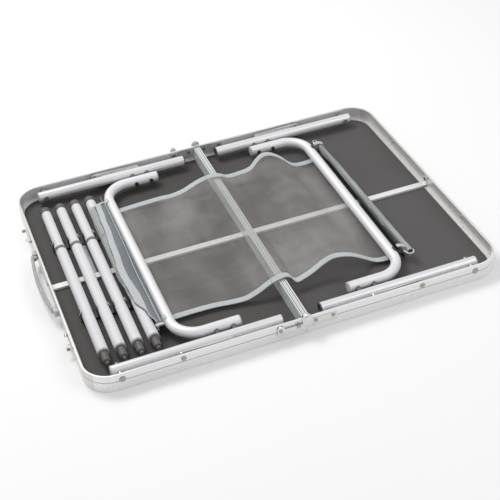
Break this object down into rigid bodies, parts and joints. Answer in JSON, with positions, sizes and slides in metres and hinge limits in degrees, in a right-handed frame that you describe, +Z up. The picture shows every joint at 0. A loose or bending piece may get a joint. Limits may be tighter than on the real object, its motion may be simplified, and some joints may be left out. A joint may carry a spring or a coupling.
{
  "type": "folding table",
  "caption": "Low folding camp table that shuts like a suitcase, with fold-out leg frames, clipped-in extension legs and a storage net",
  "frame": {"origin": "middle of the fold line on the tabletop's outer face, which lies on the floor", "axes": "+X along the long side towards the half without the handle, +Y across, +Z up from the tabletop's outer face to the underside with the folded legs"},
  "size_m": [0.8258, 0.6106, 0.0549],
  "materials": {
    "tabletop_board": "dark grey-brown laminated fibreboard, satin",
    "rim_aluminium": "satin anodised extrusion",
    "tube_aluminium": "satin silver tube",
    "plated_steel": "zinc-plated steel",
    "grey_plastic": "moulded light grey plastic",
    "dark_plastic": "moulded dark grey plastic",
    "net_fabric": "open polyester mesh with a bound edge"
  },
  "bodies": {
    "left_half": {"left_panel": "tabletop_board", "left_rim": "rim_aluminium", "left_centre_rail": "rim_aluminium", "left_panel_rib": "rim_aluminium", "left_hinge_leaves": "plated_steel", "left_rim_rivets": "plated_steel", "left_leg_pivot_bolts": "plated_steel", "left_strut_rivets": "plated_steel", "hinge_pins": "plated_steel", "handle_brackets": "grey_plastic", "clip_bases": "dark_plastic", "clip_springs": "plated_steel", "net_left": "net_fabric"},
    "right_half": {"right_panel": "tabletop_board", "right_rim": "rim_aluminium", "right_centre_rail": "rim_aluminium", "right_panel_rib": "rim_aluminium", "right_hinge_leaves": "plated_steel", "right_rim_rivets": "plated_steel", "right_leg_pivot_bolts": "plated_steel", "right_strut_rivets": "plated_steel", "latch_studs": "plated_steel", "net_right": "net_fabric"},
    "left_leg_frame": {"left_leg_tubes": "tube_aluminium", "left_u_tube": "tube_aluminium", "left_u_spacers": "grey_plastic", "left_u_screws": "plated_steel", "left_leg_sockets": "grey_plastic", "left_tube_plugs": "grey_plastic", "left_leg_strut_rivets": "plated_steel", "left_net_batten": "rim_aluminium", "left_net_flap": "net_fabric"},
    "left_strut_wall_links": {"left_strut_wall_links": "plated_steel"},
    "left_strut_leg_links": {"left_strut_leg_links": "plated_steel"},
    "right_leg_frame": {"right_leg_tubes": "tube_aluminium", "right_u_tube": "tube_aluminium", "right_u_spacers": "grey_plastic", "right_u_screws": "plated_steel", "right_leg_sockets": "grey_plastic", "right_tube_plugs": "grey_plastic", "right_leg_strut_rivets": "plated_steel", "right_net_batten": "rim_aluminium", "right_net_flap": "net_fabric"},
    "right_strut_wall_links": {"right_strut_wall_links": "plated_steel"},
    "right_strut_leg_links": {"right_strut_leg_links": "plated_steel"},
    "extension_1": {"extension_1_tube": "tube_aluminium", "extension_1_fittings": "dark_plastic"},
    "extension_1_foot": {"extension_1_foot": "tube_aluminium"},
    "extension_2": {"extension_2_tube": "tube_aluminium", "extension_2_fittings": "dark_plastic"},
    "extension_2_foot": {"extension_2_foot": "tube_aluminium"},
    "extension_3": {"extension_3_tube": "tube_aluminium", "extension_3_fittings": "dark_plastic"},
    "extension_3_foot": {"extension_3_foot": "tube_aluminium"},
    "extension_4": {"extension_4_tube": "tube_aluminium", "extension_4_fittings": "dark_plastic"},
    "extension_4_foot": {"extension_4_foot": "tube_aluminium"},
    "handle": {"handle_grip": "grey_plastic"},
    "latch_near": {"latch_near": "plated_steel"},
    "latch_far": {"latch_far": "plated_steel"}
  },
  "joints": [
    {"name": "right_half_fold", "type": "hinge", "parent": "left_half", "child": "right_half", "pos_m": [0, 0, 0.03625], "axis": [0, 1, 0], "range_deg": [-180, 0], "deforming": ["net_right"]},
    {"name": "left_leg_fold", "type": "hinge", "parent": "left_half", "child": "left_leg_frame", "pos_m": [-0.34, 0, 0.024], "axis": [0, -1, 0], "range_deg": [0, 90], "deforming": ["net_left", "left_net_flap"]},
    {"name": "left_strut_wall_swing", "type": "hinge", "parent": "left_half", "child": "left_strut_wall_links", "pos_m": [-0.23, 0, 0.028], "axis": [0, -1, 0], "range_deg": [0, 133]},
    {"name": "left_strut_leg_swing", "type": "hinge", "parent": "left_leg_frame", "child": "left_strut_leg_links", "pos_m": [-0.212, 0, 0.024], "axis": [0, 1, 0], "range_deg": [0, 140.5]},
    {"name": "right_leg_fold", "type": "hinge", "parent": "right_half", "child": "right_leg_frame", "pos_m": [0.34, 0, 0.024], "axis": [0, 1, 0], "range_deg": [0, 90], "deforming": ["right_net_flap"]},
    {"name": "right_strut_wall_swing", "type": "hinge", "parent": "right_half", "child": "right_strut_wall_links", "pos_m": [0.23, 0, 0.028], "axis": [0, 1, 0], "range_deg": [0, 133]},
    {"name": "right_strut_leg_swing", "type": "hinge", "parent": "right_leg_frame", "child": "right_strut_leg_links", "pos_m": [0.212, 0, 0.024], "axis": [0, -1, 0], "range_deg": [0, 140.5]},
    {"name": "extension_1_lift", "type": "slide", "parent": "left_half", "child": "extension_1", "axis": [0, 0, 1], "range_m": [0, 0.06]},
    {"name": "extension_1_length", "type": "slide", "parent": "extension_1", "child": "extension_1_foot", "axis": [0, -1, 0], "range_m": [0, 0.08]},
    {"name": "extension_2_lift", "type": "slide", "parent": "left_half", "child": "extension_2", "axis": [0, 0, 1], "range_m": [0, 0.06]},
    {"name": "extension_2_length", "type": "slide", "parent": "extension_2", "child": "extension_2_foot", "axis": [0, -1, 0], "range_m": [0, 0.08]},
    {"name": "extension_3_lift", "type": "slide", "parent": "left_half", "child": "extension_3", "axis": [0, 0, 1], "range_m": [0, 0.06]},
    {"name": "extension_3_length", "type": "slide", "parent": "extension_3", "child": "extension_3_foot", "axis": [0, -1, 0], "range_m": [0, 0.08]},
    {"name": "extension_4_lift", "type": "slide", "parent": "left_half", "child": "extension_4", "axis": [0, 0, 1], "range_m": [0, 0.06]},
    {"name": "extension_4_length", "type": "slide", "parent": "extension_4", "child": "extension_4_foot", "axis": [0, -1, 0], "range_m": [0, 0.08]},
    {"name": "handle_swing", "type": "hinge", "parent": "left_half", "child": "handle", "pos_m": [-0.4055, 0, 0.025], "axis": [0, 1, 0], "range_deg": [0, 60]},
    {"name": "latch_near_swing", "type": "hinge", "parent": "left_half", "child": "latch_near", "pos_m": [-0.403, -0.147, 0.017], "axis": [-1, 0, 0], "range_deg": [0, 90]},
    {"name": "latch_far_swing", "type": "hinge", "parent": "left_half", "child": "latch_far", "pos_m": [-0.403, 0.147, 0.017], "axis": [1, 0, 0], "range_deg": [0, 90]}
  ],
  "couplings": [
    {"joint": "left_strut_wall_swing", "follows": "left_leg_fold", "ratio": 1.4758},
    {"joint": "left_strut_leg_swing", "follows": "left_leg_fold", "ratio": 1.5553},
    {"joint": "right_strut_wall_swing", "follows": "right_leg_fold", "ratio": 1.4758},
    {"joint": "right_strut_leg_swing", "follows": "right_leg_fold", "ratio": 1.5553}
  ]
}
